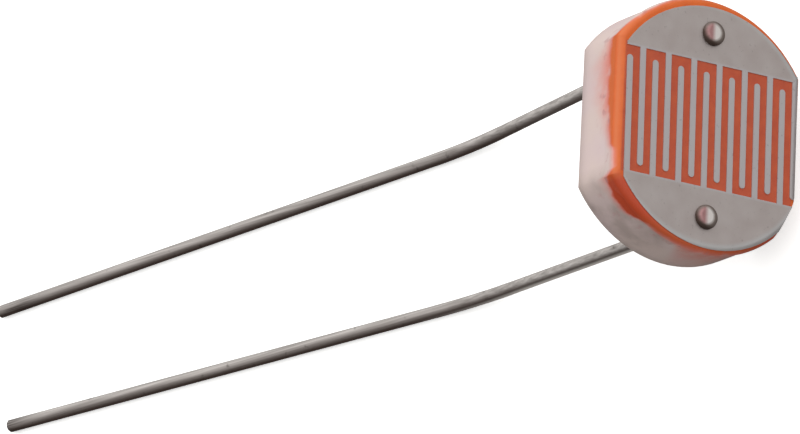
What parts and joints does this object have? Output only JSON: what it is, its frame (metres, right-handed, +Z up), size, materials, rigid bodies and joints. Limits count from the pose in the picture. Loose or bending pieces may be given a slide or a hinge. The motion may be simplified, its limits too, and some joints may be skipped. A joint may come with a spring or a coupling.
{
  "type": "photoresistor",
  "caption": "Flat-sided ceramic disc with an orange light-sensitive track winding between comb electrodes, on bent wire leads.",
  "frame": {"origin": "on the surface that the part lies on, under the middle of its bounding box", "axes": "+Z up, +Y from the disc along the leads, +X from the second lead to the first; the sensing face looks to -Y and up"},
  "size_m": [0.016, 0.0426, 0.0101],
  "materials": {
    "ceramic": "matte, unglazed",
    "light_sensitive_layer": "sintered film under clear lacquer",
    "electrode_film": "satin metal film under clear lacquer",
    "tinned_wire": "tinned, dull bright"
  },
  "bodies": {
    "root": {"ceramic_blank": "ceramic", "photo_layer": "light_sensitive_layer", "electrode_a": "electrode_film", "electrode_b": "electrode_film", "lead_a": "tinned_wire", "lead_b": "tinned_wire"}
  },
  "joints": []
}
